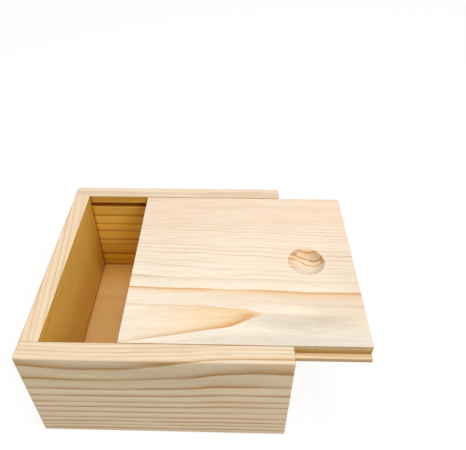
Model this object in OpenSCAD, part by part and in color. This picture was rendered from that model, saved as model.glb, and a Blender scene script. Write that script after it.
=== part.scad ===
// Pine box with a lid that slides in grooves along its long walls.
// The origin is the middle of the underside of the box. +X is the way the lid slides open,
// +Y is the back wall and +Z is up. The lid is drawn as it stands open.

/* [Box] */
// Outside length, along the way the lid slides
box_l = 130; // [90:1:260]
// Outside width, across the lid
box_w = 130; // [80:1:260]
// Outside height
box_h = 67; // [45:1:160]
// Thickness of the four pine walls
wall_t = 9.5; // [8:0.5:14]
// Radius that the outer arrises of the box are sanded to
ease_r = 1; // [0.3:0.1:1.5]
// Radius that the arrises of the lid and the upper arrises of the end walls are sanded to
arris_r = 0.5; // [0.2:0.1:0.9]

/* [Base] */
// Thickness of the plywood base, which lies flush with the lower edges of the walls
base_t = 5.5; // [3:0.5:9]
// How far the rebate for the base is cut into each wall
rebate_w = 4; // [2:0.5:5]
// Gap between the base's edges and the sides of the rebate
base_gap = 0.2; // [0.05:0.05:0.5]

/* [Lid groove] */
// Depth of the groove's upper face below the top of the walls
groove_drop = 5.2; // [3:0.1:8]
// Height of the groove
groove_h = 3.4; // [2.4:0.1:5]
// Depth of the groove into the wall
groove_d = 3.5; // [2:0.1:5]

/* [Lid] */
// Running gap above and below the lid's tongues in their grooves
slide_gap = 0.3; // [0.15:0.05:0.5]
// Gap between the sides of the lid and the long walls
side_gap = 0.4; // [0.2:0.05:0.8]
// Gap between the tip of a tongue and the bottom of its groove
tip_gap = 0.9; // [0.3:0.1:1.2]
// Gap between the shut lid and the left end wall
stop_gap = 0.3; // [0.1:0.05:1]
// How far the lid stands open
lid_open = 37; // [0:1:85]

/* [Thumb dish] */
// Width of the round dish at the lid's surface
dish_d = 20; // [14:0.5:30]
// Depth of the dish
dish_depth = 3.5; // [2:0.1:5]
// From the lid's right end to the middle of the dish
dish_inset = 25.7; // [18:0.1:40]

/* [Hidden] */
$fn = 96;

// How far a cutter runs past the face that it leaves by
cut_over = 2;

// The room inside the walls
inner_l = box_l - 2 * wall_t;
inner_w = box_w - 2 * wall_t;

// The groove's upper and lower faces. The right end wall ends level with the lower one.
groove_top = box_h - groove_drop;
groove_floor = groove_top - groove_h;

// The lid: its board fills the gap between the long walls, flush with their top, and its tongues
// stand out from the board's sides into the grooves
lid_l = box_l - wall_t - stop_gap;
lid_w = inner_w - 2 * side_gap;
lid_floor = groove_floor + slide_gap;
lid_t = box_h - lid_floor;
tongue_t = groove_h - 2 * slide_gap;
tongue_w = side_gap + groove_d - tip_gap;
lid_right = box_l / 2 + lid_open;
lid_mid = lid_right - lid_l / 2;

// The ball that hollows the dish
dish_ball_r = (pow(dish_d / 2, 2) + pow(dish_depth, 2)) / (2 * dish_depth);

// A rectangle with round corners, about its middle
module rounded_rectangle(length, width, radius) {
    square([length - 2 * radius, width], center = true);
    square([length, width - 2 * radius], center = true);
    for (x = [-1, 1], y = [-1, 1])
        translate([x * (length / 2 - radius), y * (width / 2 - radius)]) circle(r = radius);
}

// A block that stands on z = 0 about the Z axis, with all its arrises rounded
module eased_block(length, width, height, radius) {
    intersection() {
        linear_extrude(height = height) rounded_rectangle(length, width, radius);
        translate([0, width / 2, height / 2]) rotate([90, 0, 0])
            linear_extrude(height = width) rounded_rectangle(length, height, radius);
        translate([-length / 2, 0, height / 2]) rotate([90, 0, 90])
            linear_extrude(height = length) rounded_rectangle(width, height, radius);
    }
}

// The recess round the lower inner edges of the walls that the base is let into
module base_recess() {
    recess_l = inner_l + 2 * rebate_w;
    recess_w = inner_w + 2 * rebate_w;
    translate([-recess_l / 2, -recess_w / 2, -cut_over]) cube([recess_l, recess_w, base_t + cut_over]);
}

// One cutter for the grooves in both long walls. They start at the left end wall and run out at the right.
module lid_grooves() {
    cut_w = inner_w + 2 * groove_d;
    translate([-inner_l / 2, -cut_w / 2, groove_floor])
        cube([inner_l + wall_t + cut_over, cut_w, groove_h]);
}

// A long wall at the front, at y = -box_w / 2
module long_wall() {
    difference() {
        intersection() {
            translate([-box_l / 2, -box_w / 2, 0]) cube([box_l, wall_t, box_h]);
            eased_block(box_l, box_w, box_h, ease_r);
        }
        base_recess();
        lid_grooves();
    }
}

// An end wall of the stated height, at x = -box_l / 2, between the long walls. The eased block runs past
// the wall's ends and its lower edge, so that it rounds only the two upper arrises.
module end_wall(height) {
    difference() {
        intersection() {
            translate([-box_l / 2, -inner_w / 2, 0]) cube([wall_t, inner_w, height]);
            translate([(wall_t - box_l) / 2, 0, -arris_r])
                eased_block(wall_t, inner_w + 2 * arris_r, height + arris_r, arris_r);
            eased_block(box_l, box_w, box_h, ease_r);
        }
        base_recess();
    }
}

module front_wall() {
    color([0.90, 0.79, 0.63]) long_wall();
}

module back_wall() {
    color([0.93, 0.83, 0.68]) mirror([0, 1, 0]) long_wall();
}

module left_end_wall() {
    color([0.95, 0.86, 0.72]) end_wall(box_h);
}

// Low, so that the lid passes over it
module right_end_wall() {
    color([0.92, 0.81, 0.66]) mirror([1, 0, 0]) end_wall(groove_floor);
}

module base_panel() {
    panel_l = inner_l + 2 * (rebate_w - base_gap);
    panel_w = inner_w + 2 * (rebate_w - base_gap);
    color([0.78, 0.62, 0.45])
        translate([-panel_l / 2, -panel_w / 2, 0]) cube([panel_l, panel_w, base_t]);
}

// One board. The dish is a shallow cap of a ball.
module lid() {
    color([0.98, 0.89, 0.77]) difference() {
        union() {
            translate([lid_mid, 0, lid_floor]) eased_block(lid_l, lid_w, lid_t, arris_r);
            translate([lid_mid, 0, lid_floor])
                eased_block(lid_l, lid_w + 2 * tongue_w, tongue_t, arris_r);
        }
        translate([lid_right - dish_inset, 0, box_h - dish_depth + dish_ball_r]) sphere(r = dish_ball_r);
    }
}

front_wall();
back_wall();
left_end_wall();
right_end_wall();
base_panel();
lid();
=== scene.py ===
# %% [markdown]
# # A small pine box with a sliding lid
#
# The object is a square box of raw pine. Four boards are glued edge to face, a sheet of plywood closes the
# bottom, and the lid is one board that runs in grooves along the two long walls. A round dish near the lid's
# right end takes the thumb.
#
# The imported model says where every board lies, so it is loaded first. This lesson then models each board
# again as a joiner would make it, with its grooves, rebates and sanded arrises, and gives it wood that is
# grown in three dimensions. Lengths are written in millimetres and turned to metres where they are used.

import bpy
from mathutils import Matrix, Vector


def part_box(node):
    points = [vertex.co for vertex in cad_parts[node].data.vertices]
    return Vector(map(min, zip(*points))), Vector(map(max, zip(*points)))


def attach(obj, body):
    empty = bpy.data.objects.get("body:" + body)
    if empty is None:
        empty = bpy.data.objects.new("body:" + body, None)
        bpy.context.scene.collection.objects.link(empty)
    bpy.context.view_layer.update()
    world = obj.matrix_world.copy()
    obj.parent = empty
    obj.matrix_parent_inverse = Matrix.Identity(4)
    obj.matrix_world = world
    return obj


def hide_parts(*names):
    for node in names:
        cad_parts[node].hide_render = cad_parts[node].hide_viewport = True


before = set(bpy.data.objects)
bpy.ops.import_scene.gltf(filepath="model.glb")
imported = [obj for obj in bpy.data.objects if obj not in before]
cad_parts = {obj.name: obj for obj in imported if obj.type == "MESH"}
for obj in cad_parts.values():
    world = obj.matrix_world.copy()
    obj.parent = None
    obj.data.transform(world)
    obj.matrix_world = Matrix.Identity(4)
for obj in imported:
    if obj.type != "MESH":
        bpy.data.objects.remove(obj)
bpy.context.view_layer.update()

# %% Tools and units
import math

import bmesh
import bpy
from mathutils import Matrix, Vector

MM = 0.001

print("Blender", bpy.app.version_string, "- one millimetre is", MM, "metres")

# %% [markdown]
# ## The camera
#
# A product photograph of a box shows straight edges that meet in three directions, and the sizes of the box
# are known, so the camera can be worked out from the corners alone: where it stands, how it is turned and how
# long its lens is. Placing it by eye would leave the lid's edges a few pixels off. The optical axis of this
# picture lies a little left of the middle, so the lens is shifted by that much and no more.

# %% Place the camera
IMAGE_W, IMAGE_H = 466, 450
FOCAL_PIXELS = 498.3
AXIS_X, AXIS_Y = 218.95, 225.19
CAMERA_MM = Vector((34.56, -192.79, 262.62))
LOOKS_DOWN, LOOKS_LEFT, TILTS = 41.395, 1.779, 0.453
SENSOR_MM = 36

turn = (Matrix.Rotation(math.radians(LOOKS_LEFT), 4, "Z")
        @ Matrix.Rotation(math.radians(90 - LOOKS_DOWN), 4, "X")
        @ Matrix.Rotation(math.radians(-TILTS), 4, "Z"))
bpy.ops.object.camera_add()
camera = bpy.context.object
camera.name = "camera"
camera.matrix_world = Matrix.Translation(CAMERA_MM * MM) @ turn
camera.data.sensor_width = SENSOR_MM
camera.data.lens = FOCAL_PIXELS / IMAGE_W * SENSOR_MM
camera.data.shift_x = (IMAGE_W / 2 - AXIS_X) / IMAGE_W
camera.data.shift_y = (AXIS_Y - IMAGE_H / 2) / IMAGE_W
camera.data.clip_start, camera.data.clip_end = 0.01, 20
bpy.context.scene.camera = camera
print("lens", round(camera.data.lens, 2), "mm, shifted by", round(camera.data.shift_x, 4), "and",
      round(camera.data.shift_y, 4), "of the picture's width")

# %% [markdown]
# ## Two helpers for shaders
#
# Every finish below is a net of shader nodes. One function adds a node, with its own settings and with what
# its sockets hold or are joined to, so that each line of a finish reads as one step. Some sockets go by
# number: a Map Range reads from 1 to 2 and gives 3 to 4, and a Mix of colours goes from 6 to 7 and comes out
# at 2. Colours are written as a screen shows them, in hex, and a second function turns them to the linear
# numbers that a shader works in.

# %% Add a node, turn a colour
def node(tree, kind, sockets=None, points=None, corners="VECTOR", stops=None, **settings):
    """Adds one shader node. sockets gives each input a value, the output that it is joined to, or a node,
    which is joined by its first output. points are those of a Float Curve, and stops those of a grey Color
    Ramp."""
    made = tree.nodes.new("ShaderNode" + kind)
    for name, value in settings.items():
        setattr(made, name, value)
    if points:
        line = made.mapping.curves[0].points
        line[0].location, line[1].location = points[0], points[-1]
        for x, y in points[1:-1]:
            line.new(x, y)
        for point in line:
            point.handle_type = corners
        made.mapping.update()
    if stops:
        ramp = made.color_ramp.elements
        ramp[0].position, ramp[1].position = stops[0][0], stops[-1][0]
        ramp[0].color, ramp[1].color = [[dark] * 3 + [1.0] for dark in (stops[0][1], stops[-1][1])]
        for at, dark in stops[1:-1]:
            ramp.new(at).color = [dark] * 3 + [1.0]
    for name, value in (sockets or {}).items():
        if isinstance(value, bpy.types.Node):
            value = value.outputs[0]
        if isinstance(value, bpy.types.NodeSocket):
            tree.links.new(value, made.inputs[name])
        else:
            made.inputs[name].default_value = value
    return made


def colour(hex_code):
    """The linear colour of a hex code such as F2E4CC."""
    parts = [int(hex_code[i:i + 2], 16) / 255 for i in (0, 2, 4)]
    return [p / 12.92 if p <= 0.04045 else ((p + 0.055) / 1.055) ** 2.4 for p in parts] + [1.0]


print("cream F2E4CC is", [round(c, 3) for c in colour("F2E4CC")])

# %% [markdown]
# ## Light, floor and background
#
# The light can be read from the box itself. The tops are bright, the front is a little over half as bright,
# and the ledge of the lid's tongue is lit right up to the lid's side, so most light comes from a broad lamp
# overhead. The inside is far from dark, so a second broad lamp in front and to the right reaches in through
# the mouth, and an even sky does the rest. Each lamp's power is worked out from the share of the full
# brightness that it should give to a level surface.
#
# The background is plain white. It is made with the Light Path node: what the camera sees directly, or in a
# gloss, is white, while what lights the box stays soft and dim. More lamps would give a white floor too, but
# they would bleach the wood.

# %% Set the view, the sky and the lamps
SKY_SHARE = 0.31
# The way to each lamp, its share of full brightness, and how far off and how wide it is, in metres
LAMPS = {"overhead_lamp": (Vector((0.06, 0.02, 1.0)), 0.44, 1.5, 0.7),
         "side_lamp": (Vector((0.55, -0.40, 0.73)), 0.29, 1.2, 0.7)}


def looked_at(net):
    """1 for what the camera sees directly, in a gloss or through glass, and 0 for what lights the box."""
    ray = node(net, "LightPath")
    seen = node(net, "Math", {0: ray.outputs["Is Camera Ray"], 1: ray.outputs["Is Glossy Ray"]},
                operation="MAXIMUM")
    return node(net, "Math", {0: seen, 1: ray.outputs["Is Transmission Ray"]}, operation="MAXIMUM")


bpy.context.scene.view_settings.view_transform = "Standard"
world = bpy.data.worlds.new("soft_sky")
bpy.context.scene.world = world
world.use_nodes = True
sky = world.node_tree
sky.nodes.clear()
light = node(sky, "Background", {"Color": colour("FFFFFF"), "Strength": SKY_SHARE})
white = node(sky, "Background", {"Color": colour("FFFFFF"), "Strength": 1.0})
mixed = node(sky, "MixShader", {0: looked_at(sky), 1: light, 2: white})
node(sky, "OutputWorld", {"Surface": mixed})

for name, (way, share, distance, width) in LAMPS.items():
    way.normalize()
    bpy.ops.object.light_add(type="AREA", location=way * distance)
    lamp = bpy.context.object
    lamp.name = name
    lamp.rotation_euler = way.to_track_quat("Z", "Y").to_euler()
    lamp.data.size = width
    lamp.data.energy = share * (math.pi * distance) ** 2 / way.z
    print(name, "of", round(lamp.data.energy, 1), "W gives", share, "of full brightness")

# %% Lay the floor
FLOOR_WIDTH, FLOOR_GAP_MM = 6.0, 0.1
PAPER, FLOOR_GLOW, FLOOR_SHADE = "DADAD4", 0.84, 0.2

bpy.ops.mesh.primitive_plane_add(size=FLOOR_WIDTH, location=(0, 0, -FLOOR_GAP_MM * MM))
floor = bpy.context.object
floor.name = "floor"
bpy.ops.object.transform_apply(location=True, rotation=True, scale=True)
paper = bpy.data.materials.new("white_paper_floor")
paper.use_nodes = True
net = paper.node_tree
net.nodes.clear()
plain = node(net, "BsdfDiffuse", {"Color": colour(PAPER)})
shade = node(net, "BsdfDiffuse", {"Color": [FLOOR_SHADE] * 3 + [1.0]})
glow = node(net, "Emission", {"Color": colour("FFFFFF"), "Strength": FLOOR_GLOW})
shown = node(net, "AddShader", {0: shade, 1: glow})
mixed = node(net, "MixShader", {0: looked_at(net), 1: plain, 2: shown})
node(net, "OutputMaterial", {"Surface": mixed})
floor.data.materials.append(paper)
print("floor", FLOOR_WIDTH, "m wide, white to the camera with a faint shadow")

# %% [markdown]
# ## How the boards are made
#
# Each board starts as a planed blank. In Blender that is a cube primitive, added at the board's size and
# place. A router then takes out grooves and rebates, which here is a Boolean modifier with the cutter as its
# own block, applied at once. Last comes the sandpaper: edges that stick out are chosen in code by their place
# and rounded with the bevel operator. Drawing each board as a profile and extruding it would also work, but
# the grooves are stopped at the left end, and a cutter that stops short is how the real ones are made.
#
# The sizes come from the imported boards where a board's box gives them. The rest repeat the source's values.

# %% Read the boards' places
front_low, front_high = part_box("front_wall")
back_low, back_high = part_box("back_wall")
left_low, left_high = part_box("left_end_wall")
right_low, right_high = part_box("right_end_wall")
base_low, base_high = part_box("base_panel")
lid_low, lid_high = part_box("lid")

box_top = front_high.z
inner_x, inner_y = left_high.x, back_low.y
print("walls", round((front_high.y - front_low.y) / MM, 2), "mm thick, room inside",
      round(-2 * inner_x / MM, 1), "x", round(2 * inner_y / MM, 1), "mm")


# %% Cut a blank, rout it, sand its arrises
SHARP_DEGREES, SMOOTH_DEGREES = 50, 35


def blank(name, low, high):
    """A planed block between two corners, with its place in its mesh."""
    bpy.ops.object.select_all(action="DESELECT")
    bpy.ops.mesh.primitive_cube_add(size=1, location=(low + high) / 2, scale=high - low)
    made = bpy.context.object
    made.name = name
    bpy.ops.object.transform_apply(location=True, rotation=True, scale=True)
    return made


def take_up(piece):
    """Makes one piece the only selected object, and the active one."""
    bpy.ops.object.select_all(action="DESELECT")
    piece.select_set(True)
    bpy.context.view_layer.objects.active = piece


def rout(piece, cutter):
    """Takes the cutter's shape out of a piece, and clears the cutter away."""
    cut = piece.modifiers.new("rout", "BOOLEAN")
    cut.operation, cut.solver, cut.object = "DIFFERENCE", "EXACT", cutter
    take_up(piece)
    bpy.ops.object.modifier_apply(modifier=cut.name)
    bpy.data.objects.remove(cutter)


def sand(piece, radius_mm, steps, chosen, sharp_degrees=SHARP_DEGREES):
    """Rounds, in so many steps, the edges that stick out and that chosen(middle of the edge) picks."""
    take_up(piece)
    bpy.ops.object.mode_set(mode="EDIT")
    bpy.ops.mesh.select_mode(type="EDGE")
    bpy.ops.mesh.select_all(action="DESELECT")
    mesh = bmesh.from_edit_mesh(piece.data)
    count = 0
    for edge in mesh.edges:
        sharp = edge.is_manifold and edge.calc_face_angle_signed() > math.radians(sharp_degrees)
        if sharp and chosen((edge.verts[0].co + edge.verts[1].co) / 2):
            edge.select_set(True)
            count += 1
    bmesh.update_edit_mesh(piece.data)
    bpy.ops.mesh.bevel(offset=radius_mm * MM, segments=steps, affect="EDGES", clamp_overlap=True)
    bpy.ops.object.mode_set(mode="OBJECT")
    return count


def finish_shading(piece):
    """Smooth over the sanded arrises and flat on the faces."""
    take_up(piece)
    bpy.ops.object.shade_smooth_by_angle(angle=math.radians(SMOOTH_DEGREES))
    flat = piece.modifiers.new("flat_faces", "WEIGHTED_NORMAL")
    flat.keep_sharp = True
    bpy.ops.object.modifier_apply(modifier=flat.name)


print("an edge counts as sharp above", SHARP_DEGREES, "degrees")

# %% [markdown]
# ## The front and back boards
#
# These two run the full length, so their ends show end grain at the corners of the box. Each has a groove for
# the lid near its top, stopped at the left end wall and open at the right, and a rebate for the plywood along
# its lower edge. The outer arrises are sanded to about a millimetre and the rest only lose their sharpness,
# which leaves the hair-fine line that shows wherever two boards meet.

# %% Front and back boards
GROOVE_DROP, GROOVE_DEPTH = 5.2 * MM, 3.5 * MM
GROOVE_FLOOR, GROOVE_TOP = right_high.z, box_top - GROOVE_DROP
REBATE_WIDTH = 4 * MM
OUTER_ARRIS_MM, INNER_ARRIS_MM = 1.0, 0.22
PAST = 2 * MM
TOUCHING = 0.01 * MM


def on_outer_arris(point):
    """True on an edge where two of the box's outer faces meet."""
    touched = [abs(abs(point.x) - front_high.x) < TOUCHING, abs(abs(point.y) - back_high.y) < TOUCHING,
               abs(point.z) < TOUCHING, abs(point.z - box_top) < TOUCHING]
    return sum(touched) >= 2


def anywhere(point):
    """True on every edge."""
    return True


def long_board(name, low, high, side):
    """A long wall. side is -1 for the front, where the inner face looks towards +Y, and 1 for the back."""
    made = blank(name, low, high)
    across = sorted([side * (inner_y - PAST), side * (inner_y + GROOVE_DEPTH)])
    rout(made, blank("groove_cutter", Vector((inner_x, across[0], GROOVE_FLOOR)),
                     Vector((high.x + PAST, across[1], GROOVE_TOP))))
    across = sorted([side * (inner_y - PAST), side * (inner_y + REBATE_WIDTH)])
    rout(made, blank("rebate_cutter", Vector((inner_x - REBATE_WIDTH, across[0], -PAST)),
                     Vector((REBATE_WIDTH - inner_x, across[1], base_high.z))))
    outer = sand(made, OUTER_ARRIS_MM, 5, on_outer_arris)
    inner = sand(made, INNER_ARRIS_MM, 2, anywhere)
    finish_shading(made)
    print(name, "-", outer, "outer and", inner, "inner edges sanded,", len(made.data.polygons), "faces")
    return made


front_board = long_board("front_board", front_low, front_high, -1)
back_board = long_board("back_board", back_low, back_high, 1)

# %% [markdown]
# ## The end boards
#
# The end boards stand between the long ones. The left one reaches the top and stops the lid. The right one is
# lower by the lid's thickness and a little play, so that the lid slides out over it. Both share one function,
# as the real ones are cut from one strip: it takes the board's place and which side of it is the inside.

# %% Left and right end boards
END_ARRIS_MM = 0.5


def end_board(name, low, high, side):
    """An end wall. side is -1 for the left and 1 for the right."""
    made = blank(name, low, high)
    across = sorted([side * (-inner_x - PAST), side * (REBATE_WIDTH - inner_x)])
    rout(made, blank("rebate_cutter", Vector((across[0], low.y - PAST, -PAST)),
                     Vector((across[1], high.y + PAST, base_high.z))))

    def on_upper_inner_arris(point):
        """True on the upper edges, but not at the joints."""
        return abs(point.z - high.z) < TOUCHING and abs(point.y) < high.y - TOUCHING

    outer = sand(made, OUTER_ARRIS_MM, 5, on_outer_arris)
    upper = sand(made, END_ARRIS_MM, 4, on_upper_inner_arris)
    joints = sand(made, INNER_ARRIS_MM, 2, anywhere)
    finish_shading(made)
    print(name, "-", outer, "outer,", upper, "upper and", joints, "joint edges sanded")
    return made


left_end_board = end_board("left_end_board", left_low, left_high, -1)
right_end_board = end_board("right_end_board", right_low, right_high, 1)

# %% [markdown]
# ## The base
#
# The bottom is a plywood sheet, let into the rebate from below. Its top face is the floor of the box. Its
# edges are sawn and only just broken with sandpaper, so a small bevel is enough.

# %% Plywood base
SAWN_ARRIS_MM = 0.25

plywood_sheet = blank("plywood_sheet", base_low, base_high)
print("plywood sheet -", sand(plywood_sheet, SAWN_ARRIS_MM, 2, anywhere), "edges broken")
finish_shading(plywood_sheet)

# %% [markdown]
# ## The lid
#
# The lid is one board. Its long edges are rebated from above, which leaves a tongue on each side to run in
# the groove.

# %% Lid board with its tongues
TONGUE_THICKNESS = 2.8 * MM
TONGUE_REACH = 3.0 * MM
LID_ARRIS_MM = 0.45

lid_board = blank("lid_board", lid_low, lid_high)
for side in (-1, 1):
    across = sorted([side * (lid_high.y - TONGUE_REACH), side * (lid_high.y + PAST)])
    rout(lid_board, blank("shoulder_cutter",
                          Vector((lid_low.x - PAST, across[0], lid_low.z + TONGUE_THICKNESS)),
                          Vector((lid_high.x + PAST, across[1], lid_high.z + PAST))))
print("lid -", sand(lid_board, LID_ARRIS_MM, 4, anywhere), "edges sanded")

# %% [markdown]
# The thumb dish is what a round-nosed cutter leaves when it is plunged into the wood: a shallow cap of a
# ball. So the cutter is a sphere primitive with many segments, and the rim that it leaves is sanded lightly.
# That bevel ends on a ring of the ball, where some corners fall on the same spot. They are welded, because a
# doubled corner leaves a face without an area.

# %% Thumb dish
DISH_WIDTH, DISH_DEPTH = 20 * MM, 3.5 * MM
DISH_FROM_END = 25.7 * MM
BALL_STEPS = 96
DISH_RIM_MM, RIM_DEGREES, NEAR_RIM = 0.3, 25, 1 * MM
WELD_MM = 0.002

ball_radius = ((DISH_WIDTH / 2) ** 2 + DISH_DEPTH ** 2) / (2 * DISH_DEPTH)
dish_x = lid_high.x - DISH_FROM_END
ball_middle = (dish_x, 0, lid_high.z - DISH_DEPTH + ball_radius)
bpy.ops.object.select_all(action="DESELECT")
bpy.ops.mesh.primitive_uv_sphere_add(segments=BALL_STEPS, ring_count=BALL_STEPS, radius=ball_radius,
                                     location=ball_middle)
round_nose = bpy.context.object
bpy.ops.object.transform_apply(location=True, rotation=True, scale=True)
rout(lid_board, round_nose)


def on_dish_rim(point):
    """True on the circle where the ball leaves the lid's top."""
    from_middle = math.hypot(point.x - dish_x, point.y)
    return abs(point.z - lid_high.z) < TOUCHING and abs(from_middle - DISH_WIDTH / 2) < NEAR_RIM


def weld(piece):
    """Joins corners that lie on the same spot, and says how many that takes away."""
    before = len(piece.data.vertices)
    take_up(piece)
    bpy.ops.object.mode_set(mode="EDIT")
    bpy.ops.mesh.select_all(action="SELECT")
    bpy.ops.mesh.remove_doubles(threshold=WELD_MM * MM)
    bpy.ops.object.mode_set(mode="OBJECT")
    return before - len(piece.data.vertices)


sanded = sand(lid_board, DISH_RIM_MM, 3, on_dish_rim, RIM_DEGREES)
welded = weld(lid_board)
finish_shading(lid_board)
print("dish -", sanded, "rim edges sanded,", welded, "corners welded, ball radius",
      round(ball_radius / MM, 2), "mm")

# %% [markdown]
# ## Pine
#
# Pine looks the way it does because a board is a slice of a tree. Each year adds a pale, soft layer of early
# wood and then a thin, brown layer of late wood that ends sharply. Where a board's face cuts those layers
# steeply they show as lines, and where it grazes one they spread into a flame. A flat picture of stripes
# would break at every edge, so this wood is solid: the shader finds how far each point lies from the heart of
# the tree, and turns that distance to years.
#
# A Mapping node in Texture mode moves the point into the tree's own frame, in millimetres, with the heart
# along X. No tree is straight, so two smooth Float Curves bend the heart's line and two noises make the rings
# wander. What is left is the distance from the heart.

# %% Find the heart of the tree
SPAN_MM, SWAY_MM = 240, 20
SLOW_WANDER, QUICK_WANDER = (1 / 60, 1 / 16, 1 / 16), (1 / 16, 1 / 5, 1 / 5)


def along_the_tree(net, along, unit, rows):
    """Two smooth curves along the tree. Each row is a place along it and the height of both curves there, in
    millimetres, and they run on level past the first and last row. unit is what along has for 1 mm."""
    rows = [(-SPAN_MM / 2, *rows[0][1:])] + rows + [(SPAN_MM / 2, *rows[-1][1:])]
    share = node(net, "MapRange", {"Value": along, 1: -SPAN_MM / 2 * unit, 2: SPAN_MM / 2 * unit})
    return [node(net, "FloatCurve", {"Value": share}, corners="AUTO",
                 points=[(row[0] / SPAN_MM + 0.5, row[part] / SWAY_MM + 0.5) for row in rows])
            for part in (1, 2)]


def from_the_heart(net, heart_mm, lean, bends, wander, seed):
    """The point in the tree's frame and its distance from the heart, in millimetres. bends lists points on
    the heart's line: how far along the tree, and how far it lies off towards Y and Z there."""
    where = node(net, "TexCoord").outputs["Object"]
    grown = node(net, "Mapping", {"Vector": where, "Location": Vector(heart_mm) * MM,
                                  "Rotation": [math.radians(a) for a in lean], "Scale": (MM, MM, MM)},
                 vector_type="TEXTURE")
    straight = grown
    if bends:
        off = along_the_tree(net, node(net, "SeparateXYZ", {0: grown}).outputs["X"], 1, bends)
        off = node(net, "CombineXYZ", {"X": 0.5, "Y": off[0], "Z": off[1]})
        grown = node(net, "VectorMath", {0: off, 1: [-SWAY_MM] * 3, 2: grown}, operation="MULTIPLY_ADD")
        grown = node(net, "VectorMath", {0: grown, 1: [SWAY_MM / 2] * 3}, operation="ADD")
    for reach, size in zip(wander, (SLOW_WANDER, QUICK_WANDER)):
        scaled = node(net, "Mapping", {"Vector": straight, "Scale": size})
        noise = node(net, "TexNoise", {"Vector": scaled, "W": seed, "Scale": 1.0, "Detail": 1.0},
                     noise_dimensions="4D").outputs["Color"]
        centred = node(net, "VectorMath", {0: noise, 1: (0.5, 0.5, 0.5)}, operation="SUBTRACT")
        grown = node(net, "VectorMath", {0: centred, 1: (0, 2 * reach, 2 * reach), 2: grown},
                     operation="MULTIPLY_ADD")
    across = node(net, "VectorMath", {0: grown, 1: (0, 1, 1)}, name="across", operation="MULTIPLY")
    return grown, node(net, "VectorMath", {0: across}, operation="LENGTH").outputs["Value"]


print("the heart may lie up to", SWAY_MM / 2, "mm off its line, over", SPAN_MM, "mm of tree")

# %% [markdown]
# A Float Curve turns the distance to years, so that each year can have its own width, and a second one says
# how bold its late wood is. The whole number of years picks the year, and what is left over is the season,
# which a Color Ramp turns to late wood: it starts slowly and ends all at once, as the real one does. Chance
# makes one year bolder than the next, and a slow noise makes each bolder in places.

# %% Count the years
REACH_MM, MOST_YEARS = 140, 100
YEAR_TO_YEAR = (0.8, 1.2)
PATCH_MM, PATCH_TO_PATCH = (40, 9, 9), (0.6, 1.3)


def late_wood(net, grown, radius, years, outer_years, growth, seed):
    """How late in its year the point grew, how bold that year's late wood is, and the number of years. years
    lists each year's outer radius and boldness, and outer_years goes on from there with one width and
    boldness. growth is the year's ramp."""
    rings = list(years)
    while rings[-1][0] + outer_years[0] < REACH_MM:
        rings.append((rings[-1][0] + outer_years[0], outer_years[1]))
    ages = [(0.0, 0.0)] + [(ring[0] / REACH_MM, (i + 1) / MOST_YEARS) for i, ring in enumerate(rings)]
    boldness = [(0.0, rings[0][1])] + [(ring[0] / REACH_MM, ring[1]) for ring in rings]
    share = node(net, "Math", {0: radius, 1: REACH_MM}, operation="DIVIDE")
    age = node(net, "FloatCurve", {"Value": share}, points=ages)
    age = node(net, "Math", {0: age, 1: MOST_YEARS}, operation="MULTIPLY")
    season = node(net, "Math", {0: age}, operation="FRACT")
    season = node(net, "ValToRGB", {0: season}, stops=growth)
    bold = node(net, "FloatCurve", {"Value": share}, points=boldness)
    year = node(net, "Math", {0: age}, operation="FLOOR")
    chance = node(net, "TexWhiteNoise", {"W": year}, noise_dimensions="1D").outputs["Value"]
    uneven = node(net, "MapRange", {"Value": chance, 3: YEAR_TO_YEAR[0], 4: YEAR_TO_YEAR[1]})
    scaled = node(net, "Mapping", {"Vector": grown, "Scale": [1 / size for size in PATCH_MM]})
    patchy = node(net, "TexNoise", {"Vector": scaled, "W": seed + 7.0, "Scale": 1.0, "Detail": 1.0},
                  noise_dimensions="4D")
    patchy = node(net, "MapRange", {"Value": patchy, 1: 0.3, 2: 0.7, 3: PATCH_TO_PATCH[0],
                                    4: PATCH_TO_PATCH[1]})
    for times in (uneven, patchy):
        bold = node(net, "Math", {0: bold, 1: times}, operation="MULTIPLY")
    return season, bold, len(rings)


print("a tree may be", REACH_MM, "mm in radius and", MOST_YEARS, "years old")

# %% [markdown]
# Fine fibres, broad streaks and short resin canals lie along the grain. A real fibre is some 0.03 mm wide
# and wouldn't show in the picture, so fibres and canals are drawn about half a millimetre wide. Where a board
# is cut across the grain, the open ends of the fibres drink in more light and look browner. Sanded raw wood
# has an IOR near 1.5 and is dull, with a roughness near 0.6, and the harder late wood is a little smoother.

# %% Grow pine
# Length and width in mm, detail, where the noise starts and ends the mark, and the mark's share of late wood
STREAKS = (90, 3.0, 2.0, 0.40, 0.75, 0.20)
CANALS = (6, 0.5, 0.0, 0.70, 0.78, 0.30)
FIBRES = (22, 0.45, 2.0, 0.35, 0.75, 0.16)
END_GRAIN, END_SHARE = "D9A872", 0.5
BROAD_GROWTH = [(0.0, 0.0), (0.42, 0.05), (0.62, 0.22), (0.80, 0.60), (0.91, 1.0), (0.955, 0.85), (1.0, 0.0)]
SHARP_GROWTH = [(0.0, 0.0), (0.50, 0.05), (0.74, 0.22), (0.88, 0.60), (0.95, 1.0), (0.98, 0.85), (1.0, 0.0)]
TURNING_MM = 45
WOOD_IOR, SPRING_ROUGH, LATE_ROUGH = 1.5, 0.66, 0.52
RELIEF_MM = 0.04


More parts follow.
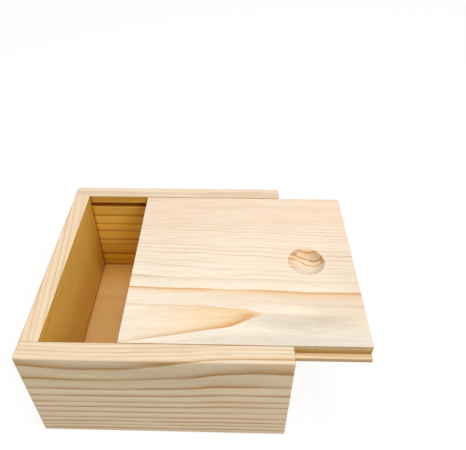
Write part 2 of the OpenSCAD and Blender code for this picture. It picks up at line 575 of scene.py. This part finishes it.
def pine(name, heart_mm, lean, bends, years, outer_years, growth, colours, turning, seed, wander):
    """Solid pine. heart_mm is a point on the heart of the tree and lean turns its line from X, in degrees.
    colours are the inner spring wood, the outer spring wood and the late wood, and turning is the radius
    where the first starts to give way to the second. The radius node has a spare number: where it is more
    than nought, the years come sooner."""
    made = bpy.data.materials.new(name)
    made.use_nodes = True
    net = made.node_tree
    net.nodes.clear()
    inner_spring, outer_spring, late = [colour(code) for code in colours]
    grown, radius = from_the_heart(net, heart_mm, lean, bends, wander, seed)
    radius = node(net, "Math", {0: radius, 1: 0.0}, name="radius", operation="ADD")
    season, bold, count = late_wood(net, grown, radius, years, outer_years, growth, seed)
    lateness = node(net, "Math", {0: season, 1: bold}, name="lateness", operation="MULTIPLY", use_clamp=True)

    outward = node(net, "MapRange", {"Value": radius, 1: turning, 2: turning + TURNING_MM},
                   interpolation_type="SMOOTHSTEP")
    spring = node(net, "Mix", {0: outward, 6: inner_spring, 7: outer_spring}, data_type="RGBA").outputs[2]
    wood = node(net, "Mix", {0: lateness, 6: spring, 7: late}, data_type="RGBA").outputs[2]

    for length, width, detail, low, high, most in (STREAKS, CANALS, FIBRES):
        scaled = node(net, "Mapping", {"Vector": grown, "Scale": (1 / length, 1 / width, 1 / width)})
        noise = node(net, "TexNoise", {"Vector": scaled, "W": seed + 3.0, "Scale": 1.0, "Detail": detail},
                     noise_dimensions="4D")
        mark = node(net, "MapRange", {"Value": noise, 1: low, 2: high, 3: 0.0, 4: most})
        wood = node(net, "Mix", {0: mark, 6: wood, 7: late}, data_type="RGBA").outputs[2]

    axis = Vector((1, 0, 0))
    for angle, about in ((lean[1], "Y"), (lean[2], "Z")):
        axis.rotate(Matrix.Rotation(math.radians(angle), 3, about))
    normal = node(net, "TexCoord").outputs["Normal"]
    facing = node(net, "VectorMath", {0: normal, 1: axis}, operation="DOT_PRODUCT")
    facing = node(net, "Math", {0: facing.outputs["Value"]}, operation="ABSOLUTE")
    end = node(net, "MapRange", {"Value": facing, 1: 0.15, 2: 0.95, 3: 0.0, 4: END_SHARE})
    wood = node(net, "Mix", {0: end, 6: wood, 7: colour(END_GRAIN)}, data_type="RGBA", blend_type="MULTIPLY")

    # Late wood stands proud by half, and the fibres, which the loop left in noise, by the whole
    relief = node(net, "Math", {0: lateness, 1: 0.5, 2: noise}, operation="MULTIPLY_ADD")
    bump = node(net, "Bump", {"Strength": 0.6, "Distance": RELIEF_MM * MM, "Height": relief})
    rough = node(net, "MapRange", {"Value": lateness, 3: SPRING_ROUGH, 4: LATE_ROUGH})
    skin = node(net, "BsdfPrincipled", {"Base Color": wood.outputs[2], "Roughness": rough,
                                        "IOR": WOOD_IOR, "Normal": bump})
    node(net, "OutputMaterial", {"Surface": skin})
    print(name, "-", count, "years,", len(net.nodes), "nodes")
    return made


print("fibres are drawn", FIBRES[1], "mm wide and", FIBRES[0], "mm long")

# %% [markdown]
# ## One tree for each board
#
# Every board of the box comes from another place in another tree, so each has its own heart, lean and years.
# The radii are chosen so that the late wood comes out where it shows on the real boards: a broad brown band
# near the top of the front that leaves over the arris, ever closer lines below it, and on the lid a flame
# that points right in front, one bold line behind it and fine lines to the back.

# %% The lid's pine
FLAME_MM, BEHIND_FLAME_MM = 22.1, 28.2

lid_pine = pine("pine_lid_sanded", (0, -39, 88), (0, 0, 0),
                [(-18, -4.0, -2.3), (-7, -3.4, -1.6), (5, -2.3, -0.95), (10, -1.85, -0.75), (20, -0.85, -0.3),
                 (30, -0.25, 0.2), (38, 0.65, 0.6), (43, 1.7, 0.87), (48, 1.95, 1.1), (55, 1.6, 1.3),
                 (63, 0.9, 1.3), (78, 0.0, 1.3), (102, -0.2, 1.3)],
                [(19.2, 0.02), (FLAME_MM, 0.3), (BEHIND_FLAME_MM, 0.8), (33.3, 0.38), (35.1, 0.25),
                 (37.5, 0.4), (40.2, 0.35), (42.0, 0.25), (45.3, 0.5), (48.1, 0.55), (51.4, 0.5),
                 (53.5, 0.35), (55.8, 0.3), (58.3, 0.25), (60.6, 0.3), (63.0, 0.45), (65.7, 0.4),
                 (68.1, 0.3)],
                (1.9, 0.36), SHARP_GROWTH, ("FDF0DB", "FBE5CD", "CA985E"), 34, 1.0, (0.12, 0.22))

# %% [markdown]
# The years behind the flame aren't quite round. They come sooner or later than their distance from the heart
# says, by an amount that changes along the board and from the flame to the back. Two Float Curves give it,
# and it fades out towards the flame and the front. It goes into the radius node's spare number.

# %% The lid's years behind the flame
# Along the tree, and how much sooner the years come there just behind the flame and further back
SOONER = [(-18, -1.7, -8.2), (-7, -1.35, -7.25), (5, -0.7, -6.15), (19, -0.1, -4.85), (32, 0.35, -3.3),
          (45, 0.8, -1.75), (63, 0.4, -1.6), (76, 0.3, -1.4), (89, 0.1, -1.15), (102, 0.0, -0.9)]
JUST_BEHIND_MM, FURTHER_BACK_MM = 30.0, 48.0
SOONER_STARTS_MM, SOONER_WHOLE_MM, SOONER_ASIDE_MM = 0.3, 4.3, 6.0

net = lid_pine.node_tree
across = net.nodes["across"]
aside = node(net, "SeparateXYZ", {0: across}).outputs["Y"]
from_heart = node(net, "VectorMath", {0: across}, operation="LENGTH").outputs["Value"]
along = node(net, "SeparateXYZ", {0: node(net, "TexCoord").outputs["Object"]}).outputs["X"]
just_behind, further_back = along_the_tree(net, along, MM, SOONER)
share = node(net, "MapRange", {"Value": from_heart, 1: JUST_BEHIND_MM, 2: FURTHER_BACK_MM},
             interpolation_type="SMOOTHSTEP")
sooner = node(net, "Mix", {0: share, 2: just_behind, 3: further_back})
sooner = node(net, "MapRange", {"Value": sooner, 3: -SWAY_MM / 2, 4: SWAY_MM / 2})
for value, low, high in ((from_heart, FLAME_MM + SOONER_STARTS_MM, FLAME_MM + SOONER_WHOLE_MM),
                         (aside, 0.0, SOONER_ASIDE_MM)):
    share = node(net, "MapRange", {"Value": value, 1: low, 2: high}, interpolation_type="SMOOTHSTEP")
    sooner = node(net, "Math", {0: sooner, 1: share}, operation="MULTIPLY")
net.links.new(sooner.outputs[0], net.nodes["radius"].inputs[1])
print("at the left of the lid the years come up to", -SOONER[0][2], "mm later")

# %% The front and back boards' pine
front_pine = pine("pine_front_sanded", (0, -11, 71.5), (0, 0, 0),
                  [(-65, -1.2, -0.1), (-30, -2.1, 1.4), (0, -1.1, 0.6), (17, -0.3, 0.2), (30, 0.8, -0.3),
                   (65, 1.4, -1.0)],
                  [(41.5, 0.4), (44.0, 0.4), (46.2, 0.45), (48.5, 0.55), (50.7, 0.6), (53.9, 1.0),
                   (56.8, 0.9), (60.7, 0.95), (64.2, 1.0), (67.7, 1.0), (70.7, 0.9), (74.4, 1.0),
                   (78.4, 1.0), (81.4, 1.0), (84.0, 0.9)],
                  (3.0, 0.9), BROAD_GROWTH, ("F6E1C2", "F5E0C2", "BC8842"), 50, 2.0, (0.25, 0.15))
back_pine = pine("pine_back_sanded", (0, 48, 127), (0, 0, 0.6), [],
                 [(54, 0.3), (61.5, 0.3), (68.5, 0.5), (77.0, 1.0), (84.0, 1.0), (90.3, 1.0), (98.6, 0.9),
                  (102.8, 0.9), (112.0, 1.0), (118, 0.6), (125, 0.6)],
                 (6.5, 0.6), SHARP_GROWTH, ("F6E3C7", "F6E2C4", "B87C3A"), 60, 3.0, (0.5, 0.3))

# %% The end boards' pine
left_pine = pine("pine_left_sanded", (-110, 0, 92), (0, 0, 95.7), [],
                 [(43.0, 0.45), (45.6, 0.5), (48.0, 0.4), (50.7, 0.55), (53.0, 0.4), (55.8, 0.5), (58.4, 0.4),
                  (62.0, 0.18)],
                 (3.6, 0.12), BROAD_GROWTH, ("F8E1BF", "F8E1BE", "CE9658"), 60, 4.0, (0.9, 0.35))
right_pine = pine("pine_right_sanded", (120, 0, 22), (0, 0, 88), [],
                  [(40.0, 0.3), (43.6, 0.4), (47.0, 0.35)],
                  (3.2, 0.35), BROAD_GROWTH, ("F6E0C2", "F5DDBE", "CB9152"), 60, 5.0, (1.3, 0.35))

# %% [markdown]
# ## Where the wood changes colour
#
# Some parts have changed since they were cut, and some carry painted light and shade. Each change is laid
# over
# the finish: one function multiplies its colour by a tint where a mask says so, and a second makes its late
# wood bolder there. A mask is made from the point's place alone.

# %% Tint and embolden a part of a finish
def tint(made, mask, shade):
    """Multiplies a finish's colour by a shade where the mask is 1."""
    net = made.node_tree
    skin = [step for step in net.nodes if step.bl_idname == "ShaderNodeBsdfPrincipled"][0]
    before = skin.inputs["Base Color"].links[0].from_socket
    after = node(net, "Mix", {0: mask, 6: before, 7: (*shade, 1.0)}, data_type="RGBA", blend_type="MULTIPLY")
    net.links.new(after.outputs[2], skin.inputs["Base Color"])


def embolden(made, mask, times):
    """Makes the late wood so many times bolder where the mask is 1."""
    net = made.node_tree
    bold = net.nodes["lateness"].inputs[1]
    more = node(net, "MapRange", {"Value": mask, 3: 1.0, 4: times})
    after = node(net, "Math", {0: bold.links[0].from_socket, 1: more}, operation="MULTIPLY")
    net.links.new(after.outputs[0], bold)


def place_and_size(net):
    """Where the point lies, that place split to X, Y and Z, and the three again without their signs."""
    where = node(net, "TexCoord").outputs["Object"]
    size = node(net, "VectorMath", {0: where}, operation="ABSOLUTE")
    return where, node(net, "SeparateXYZ", {0: where}), node(net, "SeparateXYZ", {0: size})


print("a tint of 1, 1, 1 leaves a finish as it is")

# %% [markdown]
# The faces inside the box are tinted the colour of honey. The tint is painted warm shade and bounce light
# from the pine walls; on the back wall it is lighter, painted light against the lid's shadow, and in the
# groove it is a deep painted shade. A mask ends a hair beyond the faces that it takes in, so that none is
# missed.

# %% Painted warm shade inside, deeper in the groove
INSIDE_WARM_SHADE, BACK_WARM_SHADE_AND_LIGHT, GROOVE_SHADE = (1.04, 0.80, 0.21), (1.09, 0.87, 0.20), (0.52, 0.29, 0.06)
HAIR, PAST_ARRIS = 0.1 * MM, 0.3 * MM


def inside_box(net):
    """A mask of the faces inside the box and in its grooves, and how far the point is from the middle."""
    size = place_and_size(net)[2]
    mask = node(net, "Math", {0: size.outputs["X"], 1: -inner_x + HAIR}, operation="LESS_THAN")
    for side, limit in (("Y", inner_y + GROOVE_DEPTH + HAIR), ("Z", box_top - PAST_ARRIS)):
        below = node(net, "Math", {0: size.outputs[side], 1: limit}, operation="LESS_THAN")
        mask = node(net, "Math", {0: mask, 1: below}, operation="MULTIPLY")
    return mask, size


for made, shade in ((front_pine, INSIDE_WARM_SHADE), (back_pine, BACK_WARM_SHADE_AND_LIGHT), (left_pine, INSIDE_WARM_SHADE),
                    (right_pine, INSIDE_WARM_SHADE)):
    net = made.node_tree
    mask, size = inside_box(net)
    # Painted warm shade and bounce light; on the back wall a lighter tint, painted light against the lid's
    # shadow
    tint(made, mask, shade)
    groove_shade_mask = node(net, "Math", {0: size.outputs["Y"], 1: inner_y + PAST_ARRIS}, operation="GREATER_THAN")
    groove_shade_mask = node(net, "Math", {0: groove_shade_mask, 1: mask}, operation="MULTIPLY")
    # Deep painted shade in the groove
    tint(made, groove_shade_mask, GROOVE_SHADE)
    print(made.name, "is honey inside, now", len(net.nodes), "nodes")

# %% [markdown]
# The inner corners get a painted shade. On a face one of the three distances from the walls and the floor is
# nought, so the middle one of the three is the distance from the nearest line where two inner faces meet.

# %% Painted shade in the inner corners
CORNER_SHADE, CORNER_SHADE_MM, CORNER_SHADE_WHOLE_MM = (0.66, 0.52, 0.30), 1.7, 0.3


def paint_corner_shade(made):
    """Paints shade on a strip along the lines where the inner faces meet."""
    net = made.node_tree
    _, place, size = place_and_size(net)
    from_end = node(net, "Math", {0: -inner_x, 1: size.outputs["X"]}, operation="SUBTRACT")
    from_side = node(net, "Math", {0: inner_y, 1: size.outputs["Y"]}, operation="SUBTRACT")
    from_floor = node(net, "Math", {0: place.outputs["Z"], 1: base_high.z}, operation="SUBTRACT")
    lower = node(net, "Math", {0: from_end, 1: from_side}, operation="MINIMUM")
    upper = node(net, "Math", {0: from_end, 1: from_side}, operation="MAXIMUM")
    upper = node(net, "Math", {0: upper, 1: from_floor}, operation="MINIMUM")
    nearest = node(net, "Math", {0: lower, 1: upper}, operation="MAXIMUM")
    mask = node(net, "MapRange", {"Value": nearest, 1: CORNER_SHADE_MM * MM, 2: CORNER_SHADE_WHOLE_MM * MM},
                interpolation_type="SMOOTHSTEP")
    for distance in (from_end, from_side, from_floor):
        inside = node(net, "Math", {0: distance, 1: -HAIR}, operation="GREATER_THAN")
        mask = node(net, "Math", {0: mask, 1: inside}, operation="MULTIPLY")
    # Painted shade, where light reaches the inner corners less
    tint(made, mask, CORNER_SHADE)


for made in (front_pine, back_pine, left_pine, right_pine):
    paint_corner_shade(made)
print("corners are darker over", CORNER_SHADE_MM, "mm")

# %% [markdown]
# The lid's tongues come straight from the cutter and are browner than the sanded top, their outer edges most:
# partly the cutter's colour and partly painted shade on the lid's sides. Their upper faces get a painted
# light.
# In front, the lid's side above the tongue shows its late wood boldly, and has a painted shade towards the
# tongue, in the corner of the rebate.

# %% The lid's tongues
TONGUE_TINT_AND_SHADE, TONGUE_EDGE_TINT_AND_SHADE, TONGUE_TOP_LIGHT = (0.83, 0.72, 0.52), (0.76, 0.72, 0.66), (1.06, 1.11, 1.18)
LOWER_LIP_SHADE, LIP_BOLDER = (0.79, 0.64, 0.32), 4.1
LOWER_STARTS, LOWER_WHOLE = 1.8 * MM, 3.4 * MM
LIP_Y = lid_low.y + TONGUE_REACH

net = lid_pine.node_tree
where, place, size = place_and_size(net)
beside = node(net, "Math", {0: size.outputs["Y"], 1: -LIP_Y - PAST_ARRIS / 2}, operation="GREATER_THAN")
under = node(net, "Math", {0: size.outputs["Z"], 1: lid_high.z - PAST_ARRIS}, operation="LESS_THAN")
beside = node(net, "Math", {0: beside, 1: under}, operation="MULTIPLY")
# Partly the cutter's colour, partly painted shade on the lid's sides
tint(lid_pine, beside, TONGUE_TINT_AND_SHADE)
outermost = node(net, "Math", {0: size.outputs["Y"], 1: lid_high.y - 2 * HAIR}, operation="GREATER_THAN")
tint(lid_pine, outermost, TONGUE_EDGE_TINT_AND_SHADE)
# Painted light on the tongues' upper faces
lit_ledge = node(net, "Math", {0: place.outputs["Z"], 1: lid_low.z + TONGUE_THICKNESS, 2: HAIR},
             operation="COMPARE")
tint(lid_pine, node(net, "Math", {0: lit_ledge, 1: beside}, operation="MULTIPLY"), TONGUE_TOP_LIGHT)

lip = node(net, "Math", {0: place.outputs["Y"], 1: LIP_Y, 2: HAIR}, operation="COMPARE")
embolden(lid_pine, lip, LIP_BOLDER)
# Painted shade on the lower lip, towards the corner of the rebate
lower = node(net, "MapRange", {"Value": place.outputs["Z"], 1: lid_high.z - LOWER_STARTS,
                               2: lid_high.z - LOWER_WHOLE})
tint(lid_pine, node(net, "Math", {0: lip, 1: lower}, operation="MULTIPLY"), LOWER_LIP_SHADE)
print("the late wood is", LIP_BOLDER, "times bolder on the front lip")

# %% [markdown]
# The dish comes from the cutter too, which tore the fibres of its far half a little, so the lines there are
# bold in patches. A noise of a few millimetres says where. The whole dish is a little darker, and its far
# half
# browner: partly the cut wood's colour and partly painted shade in the hollow and on its far wall.

# %% The dish's surface
DISH_TINT_AND_SHADE, FAR_DISH_TINT_AND_SHADE = (0.98, 0.96, 0.93), (0.90, 0.80, 0.64)
DISH_BOLDER, FAR_DISH_BOLDER = 2.2, 2.8
FAR_STARTS, FAR_WHOLE = -4 * MM, 6 * MM
RIPPLE_MM, TORN_STARTS, TORN_WHOLE = 4, 0.38, 0.62

dished = node(net, "VectorMath", {0: where, 1: ball_middle}, operation="DISTANCE").outputs["Value"]
dished = node(net, "Math", {0: dished, 1: ball_radius + HAIR}, operation="LESS_THAN")
far = node(net, "MapRange", {"Value": place.outputs["Y"], 1: FAR_STARTS, 2: FAR_WHOLE})
far = node(net, "Math", {0: dished, 1: far}, operation="MULTIPLY")
ripple_at = node(net, "Mapping", {"Vector": where, "Scale": [1 / (RIPPLE_MM * MM)] * 3})
ripple = node(net, "TexNoise", {"Vector": ripple_at, "Scale": 1.0, "Detail": 2.0})
torn = node(net, "MapRange", {"Value": ripple, 1: TORN_STARTS, 2: TORN_WHOLE})
torn = node(net, "Math", {0: far, 1: torn}, operation="MULTIPLY")
# Painted shade in the dish, deeper on its far wall, where the grain is also torn
for mask, shade, patch, times in ((dished, DISH_TINT_AND_SHADE, dished, DISH_BOLDER),
                                  (far, FAR_DISH_TINT_AND_SHADE, torn, FAR_DISH_BOLDER)):
    tint(lid_pine, mask, shade)
    embolden(lid_pine, patch, times)
print("the late wood is up to", round(DISH_BOLDER * FAR_DISH_BOLDER, 1), "times bolder in the dish")

# %% [markdown]
# Under the dish the years dip and lean, and the same noise makes them ripple. The years move on by so much
# for each millimetre below the top, so at the rim the lines of the dish still meet those of the top.

# %% Grain under the dish
DIP, LEAN, RIPPLE = -0.35, 0.11, 0.5

spare = net.nodes["radius"].inputs[1]
shift = node(net, "Math", {0: along, 1: LEAN / MM, 2: DIP - RIPPLE / 2 - LEAN * dish_x / MM},
             operation="MULTIPLY_ADD")
shift = node(net, "Math", {0: ripple, 1: RIPPLE, 2: shift}, operation="MULTIPLY_ADD")
depth = node(net, "Math", {0: place.outputs["Z"], 1: -1 / MM, 2: lid_high.z / MM}, operation="MULTIPLY_ADD")
for times in (depth, dished):
    shift = node(net, "Math", {0: shift, 1: times}, operation="MULTIPLY")
shift = node(net, "Math", {0: spare.links[0].from_socket, 1: shift}, operation="ADD")
net.links.new(shift.outputs[0], spare)
print("under the dish the years come about", round(-DIP * DISH_DEPTH / MM, 1), "mm later")

# %% [markdown]
# The flame is steeped in resin towards its tip. Its edge is boldest there and on the side that looks to the
# front, with a thin band of resin inside it. Resin also lies before the bold line behind the flame, as a halo
# that fades towards the flame. The strip along the lid's front edge is quiet spring wood.

# %% Resin in the flame
RESIN, EDGE_BOLDER, EDGE_BAND = (1.02, 0.83, 0.57), 4.0, (1.0, 0.93, 0.82)

# What each mask reads, where it starts and where it is whole
inside, towards_tip, front_side, rising, band = [
    node(net, "MapRange", {"Value": value, 1: starts, 2: whole}) for value, starts, whole in (
        (from_heart, FLAME_MM + 0.1, FLAME_MM - 0.1), (along, -15 * MM, 46 * MM), (aside, 1.5, -2.0),
        (along, -40 * MM, 15 * MM), (from_heart, FLAME_MM - 0.7, FLAME_MM - 0.05))]
tint(lid_pine, node(net, "Math", {0: inside, 1: towards_tip}, operation="MULTIPLY"), RESIN)
near_edge = inside
for mask in (front_side, rising):
    near_edge = node(net, "Math", {0: near_edge, 1: mask}, operation="MULTIPLY")
embolden(lid_pine, near_edge, EDGE_BOLDER)
tint(lid_pine, node(net, "Math", {0: near_edge, 1: band}, operation="MULTIPLY"), EDGE_BAND)
print("resin tints the flame", RESIN, "at its tip")

# %% Resin behind the flame, quiet wood in front
HALO, HALO_MM, HALO_ENDS_MM, BEHIND_WHOLE_MM = (1.05, 0.90, 0.72), 3.4, 0.2, 3.0
QUIET, QUIET_STARTS, QUIET_WHOLE = 0.15, -47 * MM, -51 * MM

radius = net.nodes["radius"]
halo = node(net, "MapRange", {"Value": radius, 1: BEHIND_FLAME_MM - HALO_MM, 2: BEHIND_FLAME_MM})
not_past = node(net, "Math", {0: radius, 1: BEHIND_FLAME_MM + HALO_ENDS_MM}, operation="LESS_THAN")
behind = node(net, "MapRange", {"Value": aside, 1: 0.0, 2: BEHIND_WHOLE_MM})
for mask in (not_past, behind):
    halo = node(net, "Math", {0: halo, 1: mask}, operation="MULTIPLY")
tint(lid_pine, halo, HALO)

strip = node(net, "MapRange", {"Value": place.outputs["Y"], 1: QUIET_STARTS, 2: QUIET_WHOLE})
on_top = node(net, "Math", {0: place.outputs["Z"], 1: lid_high.z - 4 * HAIR}, operation="GREATER_THAN")
outside = node(net, "Math", {0: 1.0, 1: inside}, operation="SUBTRACT")
for mask in (on_top, outside):
    strip = node(net, "Math", {0: strip, 1: mask}, operation="MULTIPLY")
embolden(lid_pine, strip, QUIET)
print("the halo is", HALO_MM, "mm wide, and the strip in front shows", QUIET, "of its late wood")

# %% [markdown]
# Pine also has soft stains that no plane takes away. On the lid, a grey smear lies right of the flame's tip,
# the right front corner is greyer, and a pink patch lies above it. The dish has two torn spots and a dull
# patch on its far wall, which is partly painted shade. The same patches also paint light and shade. On the
# front, the upper half has a grey painted shade, but for a paler streak. Inside, the back wall is browner at
# its top, has a warm painted shade at its foot and painted light between, against the lid's shadow, and the
# left wall has a painted shade towards the back corner. Each patch is a long round patch with a soft, uneven
# edge: a
# Mapping node makes it a ball of radius 1, and the distance from its middle gives the mask.

# %% Stain the wood, paint light and shade
# Each patch's middle and half sizes, in millimetres, and its shade
LID_STAINS = (((68, -41, 67), (36, 6, 20), (0.80, 0.80, 0.79)),
              ((86, -50, 67), (46, 11, 20), (0.84, 0.87, 0.89)),
              ((93, -34, 67), (30, 12, 20), (0.87, 0.83, 0.78)),
              ((52, -29, 67), (46, 7, 20), (0.95, 0.91, 0.88)),
              ((40, -52, 67), (46, 6, 20), (0.88, 0.90, 0.94)),
              ((101, -6, 67), (22, 34, 20), (0.93, 0.93, 0.91)))
# The dull patch, the third, is partly painted shade on the dish's far wall
DISH_STAINS_AND_SHADE = (((70.5, 6.9, 66.3), (2.6, 1.4, 2), (0.62, 0.55, 0.44)),
               ((84.9, 1.9, 66.1), (1.3, 2.4, 2), (0.62, 0.55, 0.42)),
               ((82, 5, 65.5), (5, 5, 6), (0.85, 0.78, 0.68)))
# The first is a grey painted shade on the front's upper half; the second is a paler streak
FRONT_STAINS_AND_SHADE = (((0, -65, 55), (110, 4, 16), (0.855, 0.85, 0.80)),
                ((-31, -65, 53), (38, 4, 3), (1.17, 1.21, 1.20)))
# Painted shade on the left wall towards the back corner
LEFT_SHADE = (((-55.5, 54, 30), (12, 24, 50), (0.74, 0.70, 0.42)),)
# Browner top, warm painted shade at the foot, painted light between against the lid's shadow
BACK_STAINS_AND_LIGHT = (((-37, 55.5, 68), (90, 3, 7), (0.86, 0.74, 0.52)),
               ((-37, 55.5, 6), (90, 10, 16), (0.93, 0.93, 0.30)),
               ((-36, 55.5, 40), (40, 10, 20), (1.22, 1.28, 1.30)))
UNEVEN_EDGE, STAIN_WHOLE = 0.6, 0.2


def stain_and_painted_light(made, middle_mm, half_mm, shade, only=1.0):
    """Tints a long round patch with a soft, uneven edge, where the mask only is 1. It makes stains and
    painted light and shade.
    """
    net = made.node_tree
    near = node(net, "Mapping", {"Vector": node(net, "TexCoord").outputs["Object"],
                                 "Location": Vector(middle_mm) * MM, "Scale": Vector(half_mm) * MM},
                vector_type="TEXTURE")
    uneven = node(net, "TexNoise", {"Vector": near, "Scale": 1.5, "Detail": 2.0}).outputs["Color"]
    uneven = node(net, "VectorMath", {0: uneven, 1: (0.5, 0.5, 0.5)}, operation="SUBTRACT")
    near = node(net, "VectorMath", {0: uneven, 1: [UNEVEN_EDGE] * 3, 2: near}, operation="MULTIPLY_ADD")
    away = node(net, "VectorMath", {0: near}, operation="LENGTH").outputs["Value"]
    mask = node(net, "MapRange", {"Value": away, 1: 1.0, 2: STAIN_WHOLE}, interpolation_type="SMOOTHSTEP")
    tint(made, node(net, "Math", {0: mask, 1: only}, operation="MULTIPLY"), shade)


for made, stains_and_shades, only in ((lid_pine, LID_STAINS, 1.0), (lid_pine, DISH_STAINS_AND_SHADE, dished),
                           (front_pine, FRONT_STAINS_AND_SHADE, 1.0),
                           (left_pine, LEFT_SHADE, inside_box(left_pine.node_tree)[0]),
                           (back_pine, BACK_STAINS_AND_LIGHT, inside_box(back_pine.node_tree)[0])):
    for middle_mm, half_mm, shade in stains_and_shades:
        stain_and_painted_light(made, middle_mm, half_mm, shade, only)
    print(made.name, "-", len(stains_and_shades), "stains, now", len(made.node_tree.nodes), "nodes")

# %% [markdown]
# ## Plywood
#
# The floor of the box is smoother and pinker than the walls. Its face veneer is peeled from the log like
# paper from a roll, so the rings are never cut through: they show as wide, faint clouds along the grain. Its
# fibres are drawn half a millimetre wide, as the pine's are. The sawn edge shows the plies in turn, each
# about a millimetre thick. It hides in the rebate, but is there.

# %% Peel plywood
PLY_MM = 1.1
CLOUD_MM, PLY_FIBRE_MM = (70, 9, 9), (12, 0.5, 0.5)
VENEER, VENEER_CLOUD, CROSS_PLY = "EACB9E", "D8B282", "B9905E"
PLY_ROUGH, PLY_RELIEF_MM = 0.6, 0.02

plywood = bpy.data.materials.new("plywood_peeled")
plywood.use_nodes = True
net = plywood.node_tree
net.nodes.clear()
where = node(net, "TexCoord")
sheet = node(net, "Mapping", {"Vector": where.outputs["Object"], "Scale": [1 / MM] * 3})
cloud_at, fibre_at = [
    node(net, "Mapping", {"Vector": sheet, "Scale": [1 / size for size in sizes]})
    for sizes in (CLOUD_MM, PLY_FIBRE_MM)]
cloud = node(net, "TexNoise", {"Vector": cloud_at, "Scale": 1.0, "Detail": 2.0, "Distortion": 0.6})
fibre = node(net, "TexNoise", {"Vector": fibre_at, "Scale": 1.0, "Detail": 2.0})
cloudy = node(net, "MapRange", {"Value": cloud, 1: 0.3, 2: 0.75, 3: 0.0, 4: 0.55})
fibrous = node(net, "MapRange", {"Value": fibre, 1: 0.35, 2: 0.75, 3: 0.0, 4: 0.22})
height = node(net, "SeparateXYZ", {0: sheet}).outputs["Z"]
ply = node(net, "Math", {0: height, 1: 2 * PLY_MM}, operation="MODULO")
cross = node(net, "Math", {0: ply, 1: PLY_MM}, operation="GREATER_THAN")
normal = node(net, "SeparateXYZ", {0: where.outputs["Normal"]}).outputs["Z"]
upright = node(net, "Math", {0: normal}, operation="ABSOLUTE")
on_edge = node(net, "Math", {0: upright, 1: 0.5}, operation="LESS_THAN")
on_edge = node(net, "Math", {0: on_edge, 1: cross}, operation="MULTIPLY")
face = colour(VENEER)
for mask, shade in ((cloudy, VENEER_CLOUD), (fibrous, CROSS_PLY), (on_edge, CROSS_PLY)):
    face = node(net, "Mix", {0: mask, 6: face, 7: colour(shade)}, data_type="RGBA").outputs[2]
bump = node(net, "Bump", {"Strength": 0.5, "Distance": PLY_RELIEF_MM * MM, "Height": fibre})
skin = node(net, "BsdfPrincipled", {"Base Color": face, "Roughness": PLY_ROUGH, "IOR": WOOD_IOR,
                                    "Normal": bump})
node(net, "OutputMaterial", {"Surface": skin})
print("plywood of", round((base_high.z - base_low.z) / MM / PLY_MM), "plies")

# %% [markdown]
# The floor gets its share of the painted shade inside the box: its top is tinted honey, a painted warm shade
# and bounce light, with painted shade in the corners and along the back, where the back wall's shadow falls.

# %% Painted warm shade on the floor of the box
FLOOR_WARM_SHADE = (0.96, 0.825, 0.49)
FLOOR_BACK_SHADE = ((-40, 54, 5.5), (90, 24, 20), (0.90, 0.78, 0.42))

upper = node(net, "Math", {0: height, 1: (base_high.z - PAST_ARRIS) / MM}, operation="GREATER_THAN")
# Painted warm shade and bounce light on the floor's top face
tint(plywood, upper, FLOOR_WARM_SHADE)
paint_corner_shade(plywood)
# Painted shade along the back, where the back wall's shadow falls
stain_and_painted_light(plywood, *FLOOR_BACK_SHADE, upper)
print("the plywood's finish has", len(net.nodes), "nodes")

# %% [markdown]
# ## Put it together
#
# Each modelled board takes its wood, rides on the body that its packed board belongs to, and stands for that
# board in the picture. The four walls and the base are one body, the carcass, and the lid is the other.

# %% Dress the frame
for piece, wood, body, packed, finish in (
        (front_board, front_pine, "carcass", "front_wall", "pine_walls"),
        (back_board, back_pine, "carcass", "back_wall", "pine_walls"),
        (left_end_board, left_pine, "carcass", "left_end_wall", "pine_walls"),
        (right_end_board, right_pine, "carcass", "right_end_wall", "pine_walls"),
        (plywood_sheet, plywood, "carcass", "base_panel", "plywood_base"),
        (lid_board, lid_pine, "lid", "lid", "pine_lid")):
    piece.data.materials.clear()
    piece.data.materials.append(wood)
    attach(piece, body)
    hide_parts(packed)
    print(piece.name, "rides on", body)
